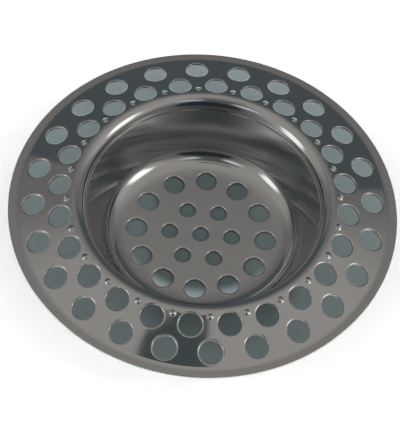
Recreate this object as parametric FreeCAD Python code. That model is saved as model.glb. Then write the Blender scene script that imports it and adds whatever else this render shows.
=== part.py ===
import FreeCAD, Part
import math
import os

# Sink strainer, in millimetres: a perforated cup swaged onto the collar of a conical flange ring.
# The frame has its origin under the middle of the cup's floor, with +Z up the axis.
# Every radius is worked out from the axis outwards, so a changed size moves what lies beyond it.

# Sheet and joint
sheet = 0.4                 # thickness of both pressed sheets
lap_clearance = 0.03        # air between the two sheets where they lap
collar_length = 0.45        # straight collar of the flange ring below its shoulder
seam_gap = 0.05             # between the collar's edge and the step in the cup's wall
step_run = 0.25             # height over which the cup's wall steps out round the collar
lap_tail = 0.1              # the cup's rim past the shoulder's bend, under the flange

# Cup
floor_small_hole = 2.9      # diameter of the middle hole and of the ring around it
floor_large_hole = 3.8      # diameter of the floor's outer ring of holes
floor_web = 2.82            # solid sheet left between the rows of floor holes
floor_margin = 0.06         # flat sheet between the outer ring of floor holes and the dish
floor_small_count = 6
floor_large_count = 12
dish_radius = 6.7           # gentle rise of the floor's edge
dish_angle = 15.0           # steepest rise of the dish, in degrees
dish_land = 0.05            # straight sheet between the dish and the fillet
floor_fillet = 3.3          # inside radius between dish and wall
wall_taper = 22.8           # lean of the wall from upright, in degrees

# Flange ring
rim_height = 9.0            # underside of the flat lip above the underside of the floor
flange_slope = 16.0         # fall of the flange from mouth to lip, in degrees
shoulder_radius = 2.2       # rounded mouth, on the side that shows
flange_hole = 4.1           # diameter of both rows of flange holes
flange_hole_count = 24      # holes in each row
mouth_web = 0.07            # solid sheet between the shoulder and the inner row
row_web = 0.62              # solid sheet left between the two rows, down the slope
lip_web = 0.53              # solid sheet between the outer row and the bend of the lip
lip_bend = 3.0              # radius of the bend from flange to lip, on the side that shows
lip_width = 1.6             # flat lip, from the corner of the bend to the edge

# Raised pips, one between each two holes of the inner row
pip_diameter = 1.2
pip_crown = 0.6             # diameter of the flat top
pip_height = 0.35
pip_web = 0.05              # solid sheet between the shoulder and the pips

dish = math.radians(dish_angle)
taper = math.radians(wall_taper)
slope = math.radians(flange_slope)
up_dish = (math.cos(dish), math.sin(dish))
up_wall = (math.sin(taper), math.cos(taper))
out_of_wall = (math.cos(taper), -math.sin(taper))
out_of_flange = (math.sin(slope), math.cos(slope))

# Floor, from the middle outwards
small_ring = floor_small_hole + floor_web
large_ring = small_ring + floor_small_hole / 2 + floor_web + floor_large_hole / 2
floor_flat = large_ring + floor_large_hole / 2 + floor_margin
floor_top = sheet
dish_run = dish_radius * math.tan(dish / 2)
fillet_run = floor_fillet * math.tan((math.pi / 2 - taper - dish) / 2)
dish_corner = (floor_flat + dish_run, floor_top)
fillet_reach = dish_run + dish_land + fillet_run
fillet_corner = (dish_corner[0] + up_dish[0] * fillet_reach, dish_corner[1] + up_dish[1] * fillet_reach)

# Flange, from the mouth outwards
shoulder_turn = math.pi / 2 + slope - taper
shoulder_run = shoulder_radius * math.tan(shoulder_turn / 2)
shoulder_span = shoulder_run * math.cos(slope)
lip_run = lip_bend * math.tan(slope / 2)
inner_offset = shoulder_span + (mouth_web + flange_hole / 2) * math.cos(slope)
outer_offset = inner_offset + (flange_hole + row_web) * math.cos(slope)
lip_offset = outer_offset + (flange_hole / 2 + lip_web + lip_run) * math.cos(slope)
lip_top = rim_height + sheet
mouth_top = lip_top + lip_offset * math.tan(slope)
mouth_corner = fillet_corner[0] + (mouth_top - fillet_corner[1]) * math.tan(taper)
inner_ring = mouth_corner + inner_offset
outer_ring = mouth_corner + outer_offset
lip_corner = mouth_corner + lip_offset
rim_radius = lip_corner + lip_width
pip_ring = mouth_corner + shoulder_span + (pip_web + pip_diameter / 2) * math.cos(slope)
lap_radius = mouth_corner + shoulder_span + lap_tail * math.cos(slope)

AXIS = FreeCAD.Vector(0, 0, 1)
CENTRE = FreeCAD.Vector(0, 0, 0)


def along(point, direction, distance):
    return (point[0] + direction[0] * distance, point[1] + direction[1] * distance)


def heading(start, end):
    length = math.hypot(end[0] - start[0], end[1] - start[1])
    return ((end[0] - start[0]) / length, (end[1] - start[1]) / length)


def right_of(direction):
    return (direction[1], -direction[0])


def turn_at(before, after):
    return before[0] * after[1] - before[1] * after[0]


def offset_chain(chain, distance):
    """Moves a chain of (point, corner radius) to its right by a distance, corners mitred."""
    headings = [heading(a[0], b[0]) for a, b in zip(chain, chain[1:])]
    moved = [(along(chain[0][0], right_of(headings[0]), distance), 0.0)]
    for (point, radius), before, after in zip(chain[1:-1], headings, headings[1:]):
        turn = math.atan2(turn_at(before, after), before[0] * after[0] + before[1] * after[1])
        corner = along(point, right_of(before), distance)
        corner = along(corner, before, distance * math.tan(turn / 2))
        grown = radius + math.copysign(distance, turn) if radius > 0 else 0.0
        moved.append((corner, grown))
    moved.append((along(chain[-1][0], right_of(headings[-1]), distance), 0.0))
    return moved


def vector(point):
    return FreeCAD.Vector(point[0], 0, point[1])


def chain_edges(chain):
    """Straight edges joined by tangent arcs through a chain of (point, corner radius)."""
    edges = []
    start = chain[0][0]
    for (before, _), (corner, radius), (after, _) in zip(chain, chain[1:], chain[2:]):
        if radius <= 0:
            edges.append(Part.LineSegment(vector(start), vector(corner)).toShape())
            start = corner
            continue
        back = heading(corner, before)
        ahead = heading(corner, after)
        half = math.acos(back[0] * ahead[0] + back[1] * ahead[1]) / 2
        run = radius / math.tan(half)
        middle = heading((0, 0), (back[0] + ahead[0], back[1] + ahead[1]))
        arc_start = along(corner, back, run)
        arc_middle = along(corner, middle, radius / math.sin(half) - radius)
        arc_end = along(corner, ahead, run)
        edges.append(Part.LineSegment(vector(start), vector(arc_start)).toShape())
        edges.append(Part.Arc(vector(arc_start), vector(arc_middle), vector(arc_end)).toShape())
        start = arc_end
    edges.append(Part.LineSegment(vector(start), vector(chain[-1][0])).toShape())
    return edges


def pressed_sheet(chain):
    """Revolves a sheet whose upper side follows the chain, from the axis side outwards."""
    under = offset_chain(chain, sheet)
    ends = [
        Part.LineSegment(vector(chain[0][0]), vector(under[0][0])).toShape(),
        Part.LineSegment(vector(chain[-1][0]), vector(under[-1][0])).toShape(),
    ]
    edges = chain_edges(chain) + chain_edges(under) + ends
    outline = Part.Wire(Part.__sortEdges__(edges))
    return Part.Face(outline).revolve(CENTRE, AXIS, 360)


def ring_of(shape, count, first_angle):
    copies = []
    for index in range(count):
        copy = shape.copy()
        copy.rotate(CENTRE, AXIS, first_angle + index * 360.0 / count)
        copies.append(copy)
    return copies


def on_flange(radius, depth):
    """Point on the flange's upper side at a radius, moved in along the surface's normal."""
    surface = (radius, lip_top + (lip_corner - radius) * math.tan(slope))
    return along(surface, out_of_flange, -depth)


def flange_punch(radius):
    """Punch square to the flange that passes the sheet by its own thickness on both sides."""
    start = vector(on_flange(radius, 2 * sheet))
    return Part.makeCylinder(flange_hole / 2, 3 * sheet, start, vector(out_of_flange))


def floor_punch(radius, diameter):
    start = FreeCAD.Vector(radius, 0, -sheet)
    return Part.makeCylinder(diameter / 2, 3 * sheet, start, AXIS)


def flange_pip():
    """Tapered pip with a flat crown, rooted in the middle of the sheet."""
    spread = (pip_diameter - pip_crown) / 2 / pip_height
    root = pip_diameter / 2 + spread * sheet / 2
    start = vector(on_flange(pip_ring, sheet / 2))
    return Part.makeCone(root, pip_crown / 2, pip_height + sheet / 2, start, vector(out_of_flange))


row_step = 360.0 / flange_hole_count
inner_holes = ring_of(flange_punch(inner_ring), flange_hole_count, 0)
outer_holes = ring_of(flange_punch(outer_ring), flange_hole_count, row_step / 2)


mouth_point = (mouth_corner, mouth_top)
collar_end = along(mouth_point, up_wall, -(shoulder_run + collar_length))


def make_flange_ring():
    chain = [
        (collar_end, 0.0),
        (mouth_point, shoulder_radius),
        ((lip_corner, lip_top), lip_bend),
        ((rim_radius, lip_top), 0.0),
    ]
    ring = pressed_sheet(chain)
    ring = ring.fuse(ring_of(flange_pip(), flange_hole_count, row_step / 2))
    return ring.cut(inner_holes + outer_holes).removeSplitter()


def make_strainer_cup():
    nest = sheet + lap_clearance
    step_top = along(along(collar_end, up_wall, -seam_gap), out_of_wall, nest)
    step_foot = along(collar_end, up_wall, -(seam_gap + step_run))
    flange_under = offset_chain([
        (collar_end, 0.0),
        (mouth_point, shoulder_radius),
        ((lip_corner, lip_top), 0.0),
    ], nest)
    lap_end = on_flange(lap_radius, nest)
    chain = [
        ((0.0, floor_top), 0.0),
        (dish_corner, dish_radius),
        (fillet_corner, floor_fillet),
        (step_foot, 0.0),
        (step_top, 0.0),
        flange_under[1],
        (lap_end, 0.0),
    ]
    cup = pressed_sheet(chain)
    cup = cup.cut(ring_of(floor_punch(large_ring, floor_large_hole), floor_large_count, 0))
    cup = cup.cut(ring_of(floor_punch(small_ring, floor_small_hole), floor_small_count, 0))
    return cup.cut(floor_punch(0, floor_small_hole)).removeSplitter()


os.makedirs("parts", exist_ok=True)
pieces = {
    "flange_ring": make_flange_ring(),
    "strainer_cup": make_strainer_cup(),
}
for name, shape in pieces.items():
    shape.exportStep("parts/" + name + ".step")
    print(name, "solids", len(shape.Solids), "valid", shape.isValid(), "volume", round(shape.Volume, 2))
print("rim diameter", round(2 * rim_radius, 3), "mouth corner", round(mouth_corner, 3))
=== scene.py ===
import math

import bpy
from mathutils import Matrix, Vector
from mathutils.geometry import delaunay_2d_cdt


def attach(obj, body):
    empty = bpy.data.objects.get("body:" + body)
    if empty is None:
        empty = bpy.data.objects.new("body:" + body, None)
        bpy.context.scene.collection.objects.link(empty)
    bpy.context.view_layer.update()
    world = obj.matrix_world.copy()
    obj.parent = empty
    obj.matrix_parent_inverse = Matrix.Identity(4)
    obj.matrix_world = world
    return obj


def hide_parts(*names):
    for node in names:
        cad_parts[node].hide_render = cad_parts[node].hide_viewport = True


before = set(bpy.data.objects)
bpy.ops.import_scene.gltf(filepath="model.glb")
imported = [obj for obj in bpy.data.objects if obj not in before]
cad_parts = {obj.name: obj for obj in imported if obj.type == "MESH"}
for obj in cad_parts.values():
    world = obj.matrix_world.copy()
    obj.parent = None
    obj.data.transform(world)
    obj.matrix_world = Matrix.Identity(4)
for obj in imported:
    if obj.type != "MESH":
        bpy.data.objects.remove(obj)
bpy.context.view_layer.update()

# Sink strainer of polished pressed steel: a perforated cup swaged onto a conical flange ring.
# Both sheets are rebuilt as smooth skins at the solids' own sizes, with the normals worked out.
# The skins add what the solids leave out: rolled hole edges, rounded sheet edges and domed pips.
# Lengths are in millimetres, and angles in degrees, until the meshes are made.

MILLIMETRE = 0.001

# Sheet and joint
sheet = 0.4                 # thickness of both pressed sheets
lap_clearance = 0.03        # air between the two sheets where they lap
collar_length = 0.45        # straight collar of the flange ring below its shoulder
seam_gap = 0.05             # between the collar's edge and the step in the cup's wall
step_run = 0.25             # height over which the cup's wall steps out round the collar
lap_tail = 0.1              # the cup's rim past the shoulder's bend, under the flange
edge_round = 0.12           # rounding of the lip's cut edge
seam_round = 0.04           # rounding of the edges and bends at the seam

# Cup
floor_small_hole = 2.9
floor_large_hole = 3.8
floor_web = 2.82
floor_margin = 0.06
floor_small_count = 6
floor_large_count = 12
dish_radius = 6.7
dish_angle = 15.0
dish_land = 0.05
floor_fillet = 3.3
wall_taper = 22.8

# Flange ring
rim_height = 9.0
flange_slope = 16.0
shoulder_radius = 2.2
flange_hole = 4.1
flange_hole_count = 24
mouth_web = 0.07
row_web = 0.62
lip_web = 0.53
lip_bend = 3.0
lip_width = 1.6

# Holes and pips
roll_width = 0.35           # edge that the punch draws down round a hole
roll_depth = 0.14
burr_round = 0.05           # rounding of a hole's lower edge
pip_diameter = 1.2
pip_spread = 0.15           # skirt of a pip's dome round its foot
pip_height = 0.24
pip_web = 0.05
panel_reach = 0.5           # of the perforated stretches past the bends beside them

# Fineness of the skins
TURN_STEPS = 360            # vertices in a full turn
ARC_STEP = math.radians(3)  # largest turn between two points of an arc
HOLE_STEPS = 48
ROLL_STEPS = 4
PIP_STEPS = 24
PIP_RINGS = 6
SEAT_STEPS = 4              # rounds of finding where a punch meets the sheet
FILL_STEPS = 180            # vertices in a turn of the rings that fill the flange
FILL_SPACING = 1.0          # between those rings
FILL_CLEARANCE = 0.2        # between those vertices and the holes
MERGE_DISTANCE = 1e-6       # below which two vertices of a panel are one

taper = math.radians(wall_taper)
slope = math.radians(flange_slope)
up_wall = (math.sin(taper), math.cos(taper))
out_of_wall = (math.cos(taper), -math.sin(taper))
out_of_flange = (math.sin(slope), math.cos(slope))

small_ring = floor_small_hole + floor_web
large_ring = small_ring + floor_small_hole / 2 + floor_web + floor_large_hole / 2
floor_flat = large_ring + floor_large_hole / 2 + floor_margin
floor_top = sheet
dish = math.radians(dish_angle)
dish_run = dish_radius * math.tan(dish / 2)
dish_corner = (floor_flat + dish_run, floor_top)
fillet_reach = dish_run + dish_land + floor_fillet * math.tan((math.pi / 2 - taper - dish) / 2)
fillet_corner = (
    dish_corner[0] + fillet_reach * math.cos(dish),
    dish_corner[1] + fillet_reach * math.sin(dish),
)

shoulder_run = shoulder_radius * math.tan((math.pi / 2 + slope - taper) / 2)
shoulder_span = shoulder_run * math.cos(slope)
lip_run = lip_bend * math.tan(slope / 2)
inner_offset = shoulder_span + (mouth_web + flange_hole / 2) * math.cos(slope)
outer_offset = inner_offset + (flange_hole + row_web) * math.cos(slope)
lip_offset = outer_offset + (flange_hole / 2 + lip_web + lip_run) * math.cos(slope)
lip_top = rim_height + sheet
mouth_top = lip_top + lip_offset * math.tan(slope)
mouth_corner = fillet_corner[0] + (mouth_top - fillet_corner[1]) * math.tan(taper)
inner_ring = mouth_corner + inner_offset
outer_ring = mouth_corner + outer_offset
lip_corner = mouth_corner + lip_offset
rim_radius = lip_corner + lip_width
pip_ring = mouth_corner + shoulder_span + (pip_web + pip_diameter / 2) * math.cos(slope)
lap_radius = mouth_corner + shoulder_span + lap_tail * math.cos(slope)
mouth_point = (mouth_corner, mouth_top)
collar_end = (
    mouth_corner - up_wall[0] * (shoulder_run + collar_length),
    mouth_top - up_wall[1] * (shoulder_run + collar_length),
)


# Profiles in the plane of radius and height

def along(point, direction, distance):
    return (point[0] + direction[0] * distance, point[1] + direction[1] * distance)


def heading(start, end):
    length = math.hypot(end[0] - start[0], end[1] - start[1])
    return ((end[0] - start[0]) / length, (end[1] - start[1]) / length)


def left_of(direction):
    return (-direction[1], direction[0])


def turn_between(before, after):
    cross = before[0] * after[1] - before[1] * after[0]
    return math.atan2(cross, before[0] * after[0] + before[1] * after[1])


def offset_chain(chain, distance):
    """Moves a chain of (point, corner radius) to its right by a distance, corners mitred."""
    headings = [heading(a[0], b[0]) for a, b in zip(chain, chain[1:])]
    moved = [(along(chain[0][0], left_of(headings[0]), -distance), chain[0][1])]
    for (point, radius), before, after in zip(chain[1:-1], headings, headings[1:]):
        turn = turn_between(before, after)
        corner = along(point, left_of(before), -distance)
        corner = along(corner, before, distance * math.tan(turn / 2))
        moved.append((corner, max(radius + math.copysign(distance, turn), seam_round)))
    moved.append((along(chain[-1][0], left_of(headings[-1]), -distance), chain[-1][1]))
    return moved


def corner_arc(before, corner, after, radius):
    """Tangent arc at a corner: start, centre, radius (negative in a left turn), heading, turn."""
    arriving = heading(before, corner)
    turn = turn_between(arriving, heading(corner, after))
    start = along(corner, arriving, -radius * abs(math.tan(turn / 2)))
    bulge = -math.copysign(radius, turn)
    centre = along(start, left_of(arriving), -bulge)
    return start, centre, bulge, math.atan2(arriving[1], arriving[0]), turn


def arc_station(arc, share):
    """Station on an arc: radius, height, and the normal on the path's left."""
    _, centre, bulge, first_angle, turn = arc
    angle = first_angle + turn * share
    normal = (-math.sin(angle), math.cos(angle))
    return along(centre, normal, bulge) + normal


def corner_stations(before, corner, after, radius):
    arc = corner_arc(before, corner, after, radius)
    *_, turn = arc
    steps = max(2, math.ceil(abs(turn) / ARC_STEP))
    return [arc_station(arc, step / steps) for step in range(steps + 1)]


def corner_runs(chain):
    """One run of stations for each corner of a chain between its first and last points."""
    return [
        corner_stations(before[0], corner[0], after[0], corner[1])
        for before, corner, after in zip(chain, chain[1:], chain[2:])
    ]


class Surface:
    """Upper side of a sheet, a chain that runs outwards, read by radius."""

    def __init__(self, chain):
        self.points = [point for point, _ in chain]
        self.arcs = [
            corner_arc(before[0], corner[0], after[0], corner[1])
            for before, corner, after in zip(chain, chain[1:], chain[2:])
        ]

    def at(self, radius):
        """Station at a radius: radius, height, and the normal's parts out and up."""
        line_start = self.points[0]
        for arc in self.arcs:
            start, centre, bulge = arc[:3]
            end = arc_station(arc, 1)
            if radius < start[0]:
                return self.on_line(line_start, start, radius)
            if radius <= end[0]:
                out = (radius - centre[0]) / bulge
                up = math.sqrt(1 - out * out)
                return (radius, centre[1] + bulge * up, out, up)
            line_start = end[:2]
        return self.on_line(line_start, self.points[-1], radius)

    def on_line(self, start, end, radius):
        direction = heading(start, end)
        height = start[1] + (radius - start[0]) * direction[1] / direction[0]
        return (radius, height) + left_of(direction)


def under(station):
    """Station of the sheet's lower side below one of its upper side."""
    radius, height, out, up = station
    return (radius - sheet * out, height - sheet * up, -out, -up)


# Skins

class Skin:
    """Vertices with their own normals, and faces, kept in millimetres until made a mesh."""

    def __init__(self):
        self.points = []
        self.normals = []
        self.faces = []

    def add(self, point, normal):
        self.points.append(Vector(point))
        self.normals.append(Vector(normal).normalized())
        return len(self.points) - 1

    def ring(self, station):
        """Vertices all round the axis at one station of a profile."""
        radius, height, out, up = station
        loop = []
        for step in range(TURN_STEPS):
            angle = 2 * math.pi * step / TURN_STEPS
            east = math.cos(angle)
            north = math.sin(angle)
            point = (radius * east, radius * north, height)
            loop.append(self.add(point, (out * east, out * north, up)))
        return loop

    def bridge(self, first, second):
        """Faces between two loops of as many vertices, showing on the left of first to second."""
        for index in range(len(first)):
            following = (index + 1) % len(first)
            self.faces.append((first[index], second[index], second[following], first[following]))

    def bridge_all(self, loops):
        for first, second in zip(loops, loops[1:]):
            self.bridge(first, second)

    def made(self, name, material):
        mesh = bpy.data.meshes.new(name)
        mesh.from_pydata([point * MILLIMETRE for point in self.points], [], self.faces)
        mesh.shade_smooth()
        mesh.normals_split_custom_set_from_vertices(self.normals)
        mesh.materials.append(material)
        piece = bpy.data.objects.new(name, mesh)
        bpy.context.scene.collection.objects.link(piece)
        return piece


class Panel:
    """A perforated stretch of sheet on a surface."""

    def __init__(self, surface):
        self.surface = surface
        self.plan = []
        self.loops = []
        self.holes = []
        self.pips = []

    def place(self, radius, angle, depth):
        """Point below the upper side, and the upper side's normal there."""
        _, height, out, up = self.surface.at(radius)
        east = math.cos(angle)
        north = math.sin(angle)
        reach = radius - depth * out
        point = Vector((reach * east, reach * north, height - depth * up))
        return point, Vector((out * east, out * north, up))

    def seat(self, centre, ahead, aside):
        """Place on the sheet square below a point of the plane that touches it at a centre."""
        middle, height, out, up = self.surface.at(centre[0])
        lift = 0.0
        for _ in range(SEAT_STEPS):
            forward = middle + ahead * up + lift * out
            radius = math.hypot(forward, aside)
            lift += (self.surface.at(radius)[1] - (height - ahead * out + lift * up)) * up
        return (radius, centre[1] + math.atan2(aside, forward))

    def circle(self, centre, radius, steps):
        """Ring that a round punch square to the sheet leaves on it."""
        turns = [2 * math.pi * step / steps for step in range(steps)]
        return [self.seat(centre, radius * math.cos(turn), radius * math.sin(turn)) for turn in turns]

    def distance(self, place, centre):
        return (self.place(*place, 0)[0] - self.place(*centre, 0)[0]).length

    def add_loop(self, places):
        first = len(self.plan)
        self.plan.extend(places)
        self.loops.append(list(range(first, len(self.plan))))
        return self.loops[-1]

    def add_turn(self, radius):
        step = 2 * math.pi / TURN_STEPS
        return self.add_loop([(radius, step * index) for index in range(TURN_STEPS)])

    def add_holes(self, radius, diameter, count, first_angle):
        for index in range(count):
            centre = (radius, math.radians(first_angle + index * 360 / count))
            loop = self.add_loop(self.circle(centre, diameter / 2 + roll_width, HOLE_STEPS))
            self.holes.append((centre, diameter / 2, loop))

    def add_pips(self, radius, diameter, count, first_angle):
        for index in range(count):
            centre = (radius, math.radians(first_angle + index * 360 / count))
            loop = self.add_loop(self.circle(centre, diameter / 2, PIP_STEPS))
            self.pips.append((centre, diameter / 2, loop))

    def add_filling(self, first_radius, last_radius):
        """Vertices spread over the sheet, so that no face spans much of the turn."""
        rings = round((last_radius - first_radius) / FILL_SPACING)
        for ring in range(1, rings):
            radius = first_radius + (last_radius - first_radius) * ring / rings
            for step in range(FILL_STEPS):
                place = (radius, 2 * math.pi * (step + 0.5 * (ring % 2)) / FILL_STEPS)
                free = all(
                    self.distance(place, centre) > size + roll_width + FILL_CLEARANCE
                    for centre, size, _ in self.holes + self.pips
                )
                if free:
                    self.plan.append(place)

    def triangles(self, solid_loops):
        """Faces of the sheet between its loops, leaving out what lies inside the other loops."""
        owner = {}
        edges = []
        for number, loop in enumerate(self.loops):
            edges.extend(zip(loop, loop[1:] + loop[:1]))
            owner.update((index, number) for index in loop)
        flat = [Vector((r * math.cos(a), r * math.sin(a))) for r, a in self.plan]
        _, _, found, origins, _, _ = delaunay_2d_cdt(flat, edges, [], 0, MERGE_DISTANCE)
        source = [origin[0] for origin in origins]
        kept = []
        for face in found:
            corners = [source[index] for index in face]
            owners = {owner.get(index) for index in corners}
            inside_loop = len(owners) == 1 and None not in owners and not owners & solid_loops
            if not inside_loop:
                kept.append(corners)
        return kept

    def lay(self, skin, faces, depth, known):
        """Adds one side of the sheet to a skin, using the vertices that are known already."""
        index_of = dict(known)
        for number, (radius, angle) in enumerate(self.plan):
            if number not in index_of:
                point, normal = self.place(radius, angle, depth)
                index_of[number] = skin.add(point, normal if depth == 0 else -normal)
        for face in faces:
            corners = [index_of[number] for number in face]
            skin.faces.append(tuple(corners if depth == 0 else reversed(corners)))
        return index_of

    def hole_wall(self, skin, hole, upper, lower):
        """Drawn-down upper edge, wall and lower edge of one hole, from the lower side up."""
        centre, size, loop = hole
        middle, _ = self.place(centre[0], centre[1], 0)
        rolls = [math.pi / 2 * step / ROLL_STEPS for step in range(ROLL_STEPS + 1)]
        below = [(turn, burr_round, burr_round, -1) for turn in rolls]
        above = [(turn, roll_width, roll_depth, 1) for turn in reversed(rolls[1:])]
        loops = [[lower[index] for index in loop]]
        for turn, width, deep, side in below + above:
            radius = size + width * (1 - math.sin(turn))
            drop = deep * (1 - math.cos(turn))
            depth = drop if side > 0 else sheet - drop
            ring = []
            for place in self.circle(centre, radius, HOLE_STEPS):
                point, normal = self.place(place[0], place[1], depth)
                inward = middle - point
                inward -= normal * inward.dot(normal)
                inward.normalize()
                lean = normal * (side * width * math.cos(turn)) + inward * (deep * math.sin(turn))
                ring.append(skin.add(point, lean))
            loops.append(ring)
        loops.append([upper[index] for index in loop])
        skin.bridge_all(loops)

    def pip_dome(self, skin, pip, edge, depth):
        """Domed side of one pip, raised on the upper side and hollow on the lower."""
        centre, size, loop = pip
        middle, upright = self.place(centre[0], centre[1], depth - pip_height)
        side = 1 if depth == 0 else -1
        loops = []
        for ring in range(1, PIP_RINGS):
            share = ring / PIP_RINGS
            rise = pip_height * (1 + math.cos(math.pi * share)) / 2
            steep = pip_height * math.pi * math.sin(math.pi * share) / (2 * size)
            vertices = []
            for place in self.circle(centre, size * share, PIP_STEPS):
                point, normal = self.place(place[0], place[1], depth - rise)
                outward = point - middle
                outward -= normal * outward.dot(normal)
                outward.normalize()
                vertices.append(skin.add(point, (normal + outward * steep) * side))
            loops.append(vertices)
        loops.append([edge[index] for index in loop])
        crown = skin.add(middle, upright * side)
        for index in range(PIP_STEPS):
            following = (index + 1) % PIP_STEPS
            fan = (crown, loops[0][index], loops[0][following])
            skin.faces.append(fan if depth == 0 else fan[::-1])
        if depth == 0:
            skin.bridge_all(loops)
        else:
            skin.bridge_all(loops[::-1])

    def fit(self, skin, upper_known, lower_known, solid_loops):
        """Adds both sides of the sheet, its hole walls and its pips to a skin."""
        faces = self.triangles(solid_loops)
        upper = self.lay(skin, faces, 0, upper_known)
        lower = self.lay(skin, faces, sheet, lower_known)
        for hole in self.holes:
            self.hole_wall(skin, hole, upper, lower)
        for pip in self.pips:
            self.pip_dome(skin, pip, upper, 0)
            self.pip_dome(skin, pip, lower, sheet)


def make_flange_ring(material):
    upper = [
        (collar_end, seam_round),
        (mouth_point, shoulder_radius),
        ((lip_corner, lip_top), lip_bend),
        ((rim_radius, lip_top), edge_round),
    ]
    lower = offset_chain(upper, sheet)
    closed = upper + lower[::-1]
    surface = Surface(upper)
    inner_radius = mouth_corner + shoulder_span - panel_reach
    outer_radius = lip_corner - lip_run * math.cos(slope)
    inner_end = surface.at(inner_radius)
    runs = corner_runs(closed[-1:] + closed + closed[:1])
    collar_face, mouth, lip, rim_top, rim_foot, lip_under, mouth_under, collar_back = runs
    mouth = [station for station in mouth if station[0] < inner_radius] + [inner_end]
    inner_under = under(inner_end)
    mouth_under = [inner_under] + [station for station in mouth_under if station[0] < inner_under[0]]

    skin = Skin()
    crown = [lip, rim_top, rim_foot, lip_under]
    throat = [mouth_under, collar_back, collar_face, mouth]
    crown_rings = [skin.ring(station) for run in crown for station in run]
    throat_rings = [skin.ring(station) for run in throat for station in run]
    skin.bridge_all(crown_rings)
    skin.bridge_all(throat_rings)

    panel = Panel(surface)
    row_step = 360 / flange_hole_count
    inner_edge = panel.add_turn(inner_radius)
    outer_edge = panel.add_turn(outer_radius)
    panel.add_holes(inner_ring, flange_hole, flange_hole_count, 0)
    panel.add_holes(outer_ring, flange_hole, flange_hole_count, row_step / 2)
    panel.add_pips(pip_ring, pip_diameter + 2 * pip_spread, flange_hole_count, row_step / 2)
    panel.add_filling(inner_radius, outer_radius)
    upper_known = dict(zip(inner_edge + outer_edge, throat_rings[-1] + crown_rings[0]))
    lower_known = dict(zip(inner_edge + outer_edge, throat_rings[0] + crown_rings[-1]))
    panel.fit(skin, upper_known, lower_known, solid_loops=set())
    piece = skin.made("flange_ring_skin", material)
    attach(piece, "root")
    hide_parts("flange_ring")


def make_strainer_cup(material):
    nest = sheet + lap_clearance
    step_top = along(along(collar_end, up_wall, -seam_gap), out_of_wall, nest)
    step_foot = along(collar_end, up_wall, -(seam_gap + step_run))
    flange_under = offset_chain([
        (collar_end, seam_round),
        (mouth_point, shoulder_radius),
        ((lip_corner, lip_top), seam_round),
    ], nest)
    lap_height = lip_top + (lip_corner - lap_radius) * math.tan(slope)
    lap_end = along((lap_radius, lap_height), out_of_flange, -nest)
    upper = [
        ((0.0, floor_top), 0.0),
        (dish_corner, dish_radius),
        (fillet_corner, floor_fillet),
        (step_foot, seam_round),
        (step_top, seam_round),
        flange_under[1],
        (lap_end, seam_round),
    ]
    lower = offset_chain(upper, sheet)
    surface = Surface(upper[:4])
    panel_radius = floor_flat + panel_reach
    panel_end = surface.at(panel_radius)
    panel_under = under(panel_end)
    runs = corner_runs(upper + lower[::-1])
    runs[0] = [panel_end] + [station for station in runs[0] if station[0] > panel_radius]
    runs[-1] = [station for station in runs[-1] if station[0] > panel_under[0]] + [panel_under]
    skin = Skin()
    rings = [skin.ring(station) for run in runs for station in run]
    skin.bridge_all(rings)

    panel = Panel(surface)
    edge = panel.add_turn(panel_radius)
    panel.add_holes(large_ring, floor_large_hole, floor_large_count, 0)
    panel.add_holes(small_ring, floor_small_hole, floor_small_count, 0)
    panel.add_holes(0.0, floor_small_hole, 1, 0)
    upper_known = dict(zip(edge, rings[0]))
    lower_known = dict(zip(edge, rings[-1]))
    panel.fit(skin, upper_known, lower_known, solid_loops={0})
    piece = skin.made("strainer_cup_skin", material)
    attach(piece, "root")
    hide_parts("strainer_cup")


# Materials

class Graph:
    """Short calls for building a node tree."""

    def __init__(self, tree):
        self.tree = tree
        tree.nodes.clear()

    def node(self, kind, inputs=None, **settings):
        made = self.tree.nodes.new(kind)
        for name, value in settings.items():
            setattr(made, name, value)
        for key, value in (inputs or {}).items():
            if isinstance(value, bpy.types.NodeSocket):
                self.tree.links.new(value, made.inputs[key])
            else:
                made.inputs[key].default_value = value
        return made

    def math(self, operation, first, second=0.0):
        return self.node("ShaderNodeMath", {0: first, 1: second}, operation=operation).outputs[0]

    def soft_step(self, value, low, high):
        """Goes smoothly from 0 at low to 1 at high."""
        inputs = {"Value": value, "From Min": low, "From Max": high}
        return self.node("ShaderNodeMapRange", inputs, interpolation_type="SMOOTHSTEP").outputs[0]

    def mix(self, share, first, second):
        inputs = {"Factor": share, 6: first, 7: second}
        return self.node("ShaderNodeMix", inputs, data_type="RGBA").outputs[2]


# Steel, with patterns counted per metre and linear colours
smudge_scale = 90.0
line_scale = 1500.0         # turned lines, over the radius and the height
wave_scale = 160.0
wave_depth = 0.03           # of the sheet's waviness
polish_roughness = 0.015    # of the cleanest steel
smudge_roughness = 0.03     # that smudges add at most
line_roughness = 0.015      # that turned lines add at most
drawn_roughness = 0.10      # that the drawn wall adds
drawn_start = 0.75          # upright part of the normal where the sheet starts to be a drawn wall
drawn_full = 0.45           # and where it is one
drawn_tint = 0.6            # share of the drawn wall's own colour
dark_steel = (0.53, 0.52, 0.51, 1)
light_steel = (0.59, 0.58, 0.57, 1)
drawn_steel = (0.48, 0.485, 0.485, 1)


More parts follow.
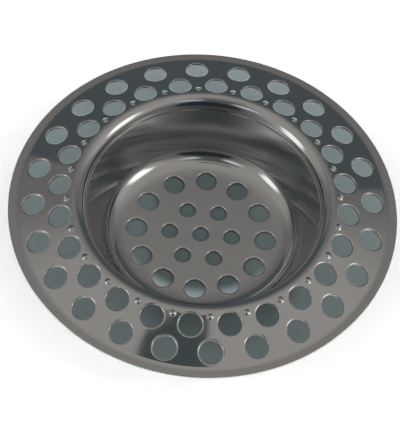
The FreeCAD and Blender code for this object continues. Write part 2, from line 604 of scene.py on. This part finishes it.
def polished_steel():
    """Mirror-like sheet with smudges and fine turned lines, duller on the drawn wall of the cup."""
    material = bpy.data.materials.new("polished_steel")
    material.use_nodes = True
    graph = Graph(material.node_tree)
    place = graph.node("ShaderNodeTexCoord").outputs["Object"]
    parts = graph.node("ShaderNodeSeparateXYZ", {0: place}).outputs
    east_squared = graph.math("MULTIPLY", parts[0], parts[0])
    north_squared = graph.math("MULTIPLY", parts[1], parts[1])
    radius = graph.math("SQRT", graph.math("ADD", east_squared, north_squared))
    turned = graph.node("ShaderNodeCombineXYZ", {0: radius, 1: parts[2]}).outputs[0]

    def noise(vector, scale, detail):
        inputs = {"Vector": vector, "Scale": scale, "Detail": detail}
        return graph.node("ShaderNodeTexNoise", inputs).outputs[0]

    smudge = noise(place, smudge_scale, 4.0)
    lines = noise(turned, line_scale, 3.0)
    waves = noise(place, wave_scale, 1.0)
    normal = graph.node("ShaderNodeNewGeometry").outputs["Normal"]
    upward = graph.math("ABSOLUTE", graph.node("ShaderNodeSeparateXYZ", {0: normal}).outputs[2])
    drawn = graph.soft_step(upward, drawn_start, drawn_full)
    rough = polish_roughness
    for pattern, share in ((smudge, smudge_roughness), (lines, line_roughness), (drawn, drawn_roughness)):
        rough = graph.math("ADD", graph.math("MULTIPLY", pattern, share), rough)
    colour = graph.mix(smudge, dark_steel, light_steel)
    colour = graph.mix(graph.math("MULTIPLY", drawn, drawn_tint), colour, drawn_steel)
    around = graph.node("ShaderNodeTangent", direction_type="RADIAL", axis="Z").outputs[0]
    wavy = {"Height": waves, "Strength": 1.0, "Distance": wave_depth * MILLIMETRE}
    bump = graph.node("ShaderNodeBump", wavy).outputs[0]
    shader = graph.node("ShaderNodeBsdfPrincipled", {
        "Base Color": colour, "Metallic": 1.0, "Roughness": rough, "Normal": bump,
        "Anisotropic": 1.0, "Tangent": around,
    })
    graph.node("ShaderNodeOutputMaterial", {"Surface": shader.outputs[0]})
    return material


# Floor, with linear colours, and a painted shadow under the part laid out in round patches as (right,
# back, radius, fade) from the axis
floor_reach = 3000.0        # from the axis to each side
floor_drop = 0.05           # below the part
floor_lift = 3.45           # how much brighter the floor shows than it lights
whole_shadow_patch = (0.0, 6.5, 33.5, 2.0)     # the whole painted shadow
front_shadow_patch = (3.0, -8.0, 13.0, 4.0)    # painted shadow, darker in front of the cup
cup_shadow_patch = (0.0, 0.0, 14.0, 3.0)       # painted shadow below the cup's floor
deep_shadow_patch = (0.0, 4.0, 14.8, 2.6)      # painted shadow there, deepest where little light comes in from the front
shadow_strip_inside = 6.0          # half width of the darkest strip of painted shadow below the cup
shadow_strip_outside = 11.0        # and where it has faded
shadow_near = -30.0          # where the painted shadow is darkest, towards the camera
shadow_far = 25.0            # and where it is lightest
pale_paint = (0.86, 0.87, 0.87, 1)
# Painted shadow, grey-green: darker towards the camera, in front of the cup and below it
near_shadow_paint = (0.105, 0.128, 0.132, 1)
far_shadow_paint = (0.202, 0.242, 0.248, 1)
front_shadow_paint = (0.08, 0.101, 0.104, 1)
cup_shadow_paint = (0.092, 0.115, 0.119, 1)
strip_shadow_paint = (0.062, 0.080, 0.083, 1)
# Painted light that reaches in below the front of the cup
cup_front_light_paint = (0.25, 0.29, 0.30, 1)


def floor_with_painted_shadow():
    """Pale floor with a painted grey-green shadow under the part, where its holes show the floor, darker
    below and in front of the cup, with painted light below the cup's front.
    Seen directly or in the steel it is brighter than it lights, so that it reads as white."""
    material = bpy.data.materials.new("pale_floor_painted_shadow")
    material.use_nodes = True
    graph = Graph(material.node_tree)
    rays = graph.node("ShaderNodeLightPath").outputs
    seen = graph.math("MAXIMUM", rays["Is Camera Ray"], rays["Is Glossy Ray"])
    seen = graph.math("MAXIMUM", seen, rays["Is Transmission Ray"])
    place = graph.node("ShaderNodeTexCoord").outputs["Object"]
    parts = graph.node("ShaderNodeSeparateXYZ", {0: place}).outputs

    def beyond(patch):
        """0 within a round patch, rising to 1 over its fade."""
        right, back, radius, fade = patch
        inputs = {0: place, 1: (right * MILLIMETRE, back * MILLIMETRE, 0.0)}
        reach = graph.node("ShaderNodeVectorMath", inputs, operation="DISTANCE").outputs["Value"]
        return graph.soft_step(reach, radius * MILLIMETRE, (radius + fade) * MILLIMETRE)

    # Painted shadow below the cup and the flange, with painted light below the cup's front
    sideways = graph.math("ABSOLUTE", parts[0])
    aside = graph.soft_step(sideways, shadow_strip_inside * MILLIMETRE, shadow_strip_outside * MILLIMETRE)
    shadow_below_cup = graph.mix(aside, strip_shadow_paint, cup_shadow_paint)
    shadow_below_cup = graph.mix(beyond(deep_shadow_patch), shadow_below_cup, cup_front_light_paint)
    farther = graph.soft_step(parts[1], shadow_near * MILLIMETRE, shadow_far * MILLIMETRE)
    shadow_below_flange = graph.mix(farther, near_shadow_paint, far_shadow_paint)
    shadow_below_flange = graph.mix(beyond(front_shadow_patch), front_shadow_paint, shadow_below_flange)
    shade = graph.mix(beyond(cup_shadow_patch), shadow_below_cup, shadow_below_flange)
    colour = graph.mix(beyond(whole_shadow_patch), shade, pale_paint)
    lifted = graph.node("ShaderNodeVectorMath", {0: colour, 3: floor_lift}, operation="SCALE").outputs[0]
    shown = graph.mix(seen, colour, lifted)
    paint = graph.node("ShaderNodeBsdfDiffuse", {"Color": shown}).outputs[0]
    graph.node("ShaderNodeOutputMaterial", {"Surface": paint})
    return material


# Stage

def make_floor():
    side = floor_reach * MILLIMETRE
    level = -floor_drop * MILLIMETRE
    mesh = bpy.data.meshes.new("floor")
    corners = [(-side, -side, level), (side, -side, level), (side, side, level), (-side, side, level)]
    mesh.from_pydata(corners, [], [(0, 1, 2, 3)])
    mesh.materials.append(floor_with_painted_shadow())
    floor = bpy.data.objects.new("floor", mesh)
    bpy.context.scene.collection.objects.link(floor)


# Studio, with linear light
# A reach is the upright parts of a direction where something starts and where it is full.
# A side is a plane through the part, given by its normal on the side that is kept.
sky_light = (0.215, 0.21, 0.207, 1)
top_light = (0.42, 0.41, 0.395, 1)
top_reach = (0.74, 1.0)
glow_light = (0.44, 0.43, 0.42, 1)
near_glow_light = (0.53, 0.52, 0.51, 1)
backdrop_light = (0.095, 0.115, 0.125, 1)
backdrop_reach = (0.74, 0.59)
backdrop_sides = ((1.0, 0.75, 0.0), (-1.0, 0.71, 0.0))
backdrop_fade = 0.015
low_band_reach = (0.42, 0.25)
low_band_sides = ((1.0, 1.6, 0.0), (-1.0, 0.86, 0.0))
low_band_fade = 0.05
top_card_light = (0.08, 0.10, 0.105, 1)
top_card_sides = ((0.0, 1.0, 0.09), (1.0, 0.0, 0.175), (-1.0, 0.0, 0.066))
top_card_start = (0.0, -0.02)   # backward parts of a direction where the card starts and is full
top_card_fade = 0.01
high_front_light = (0.12, 0.122, 0.125, 1)
low_front_light = (0.03, 0.036, 0.042, 1)
left_window_light = (0.75, 0.83, 0.90, 1)
right_window_light = (0.62, 0.68, 0.74, 1)
right_lamp_light = (1.85, 1.85, 1.81, 1)
left_lamp_light = (1.60, 1.60, 1.57, 1)

# Soft round patches: azimuth, elevation, full within, gone beyond, and light
glows = (
    (356, 57, 15, 42, glow_light),
    (193, 50, 15, 40, glow_light),
    (200, 20, 15, 37, glow_light),
    (354, 36, 12, 33, near_glow_light),
)
front_patches = (
    (266, 58, 6, 26, high_front_light),
    (274, 19, 23, 29, low_front_light),
    (240, 50, 2, 11, left_window_light),
    (294, 57, 2, 10, right_window_light),
)
lamps = (
    (350, 44, 4, 13, right_lamp_light),
    (350, 33, 4, 13, right_lamp_light),
    (203, 5, 3, 14, left_lamp_light),
    (202, 18, 3, 14, left_lamp_light),
    (200, 31, 3, 14, left_lamp_light),
)


def toward(azimuth, elevation):
    flat = math.cos(math.radians(elevation))
    turn = math.radians(azimuth)
    return (flat * math.cos(turn), flat * math.sin(turn), math.sin(math.radians(elevation)))


def make_studio():
    """Soft studio round the part: grey sky, dark backdrop behind, lamps at each side, dark in front."""
    world = bpy.data.worlds.new("studio")
    bpy.context.scene.world = world
    world.use_nodes = True
    graph = Graph(world.node_tree)
    direction = graph.node("ShaderNodeTexCoord").outputs["Generated"]
    upward = graph.node("ShaderNodeSeparateXYZ", {0: direction}).outputs[2]

    def facing(axis):
        inputs = {0: direction, 1: axis}
        return graph.node("ShaderNodeVectorMath", inputs, operation="DOT_PRODUCT").outputs["Value"]

    def between(share, sides, fade):
        """Narrows a share to the directions on the kept side of each plane."""
        for side in sides:
            share = graph.math("MULTIPLY", share, graph.soft_step(facing(side), -fade, fade))
        return share

    def with_patches(light, patches):
        for azimuth, elevation, inner, outer, patch_light in patches:
            near = facing(toward(azimuth, elevation))
            share = graph.soft_step(near, math.cos(math.radians(outer)), math.cos(math.radians(inner)))
            light = graph.mix(share, light, patch_light)
        return light

    light = graph.mix(graph.soft_step(upward, *top_reach), sky_light, top_light)
    light = with_patches(light, glows)
    backdrop = between(graph.soft_step(upward, *backdrop_reach), backdrop_sides, backdrop_fade)
    low_band = between(graph.soft_step(upward, *low_band_reach), low_band_sides, low_band_fade)
    light = graph.mix(graph.math("MAXIMUM", backdrop, low_band), light, backdrop_light)
    in_front = graph.soft_step(facing((0.0, 1.0, 0.0)), *top_card_start)
    light = graph.mix(between(in_front, top_card_sides, top_card_fade), light, top_card_light)
    light = with_patches(light, front_patches + lamps)
    shown = graph.node("ShaderNodeBackground", {"Color": light, "Strength": 1.0}).outputs[0]
    graph.node("ShaderNodeOutputWorld", {"Surface": shown})


# Camera
camera_elevation = 56.178
camera_roll = 5.395
camera_turn = 0.7           # round the axis from straight ahead
camera_distance = 320.05    # from the point aimed at
aim_right = -0.374          # of the axis, at the height of the outer row of holes
aim_up = -2.900             # up the picture from there
aim_height = 10.03
focal_length = 1783.44      # in the frame's pixels
frame_height = 440
sensor_size = 36.0


def make_camera():
    lift = math.radians(camera_elevation)
    roll = math.radians(camera_roll)
    right = Vector((1, 0, 0))
    forward = Vector((0, math.cos(lift), -math.sin(lift)))
    up = right.cross(forward)
    aim = Vector((0, 0, aim_height)) + right * aim_right + up * aim_up
    rolled_right = right * math.cos(roll) + up * math.sin(roll)
    rolled_up = up * math.cos(roll) - right * math.sin(roll)
    turning = Matrix((rolled_right, rolled_up, -forward)).transposed().to_4x4()
    place = Matrix.Translation((aim - forward * camera_distance) * MILLIMETRE)
    data = bpy.data.cameras.new("camera")
    data.sensor_width = sensor_size
    data.lens = sensor_size * focal_length / frame_height
    data.clip_start = 0.01
    camera = bpy.data.objects.new("camera", data)
    bpy.context.scene.collection.objects.link(camera)
    camera.matrix_world = Matrix.Rotation(math.radians(camera_turn), 4, "Z") @ place @ turning
    bpy.context.scene.camera = camera


steel = polished_steel()
make_flange_ring(steel)
make_strainer_cup(steel)
make_floor()
make_studio()
make_camera()
bpy.context.scene.view_settings.view_transform = "Standard"
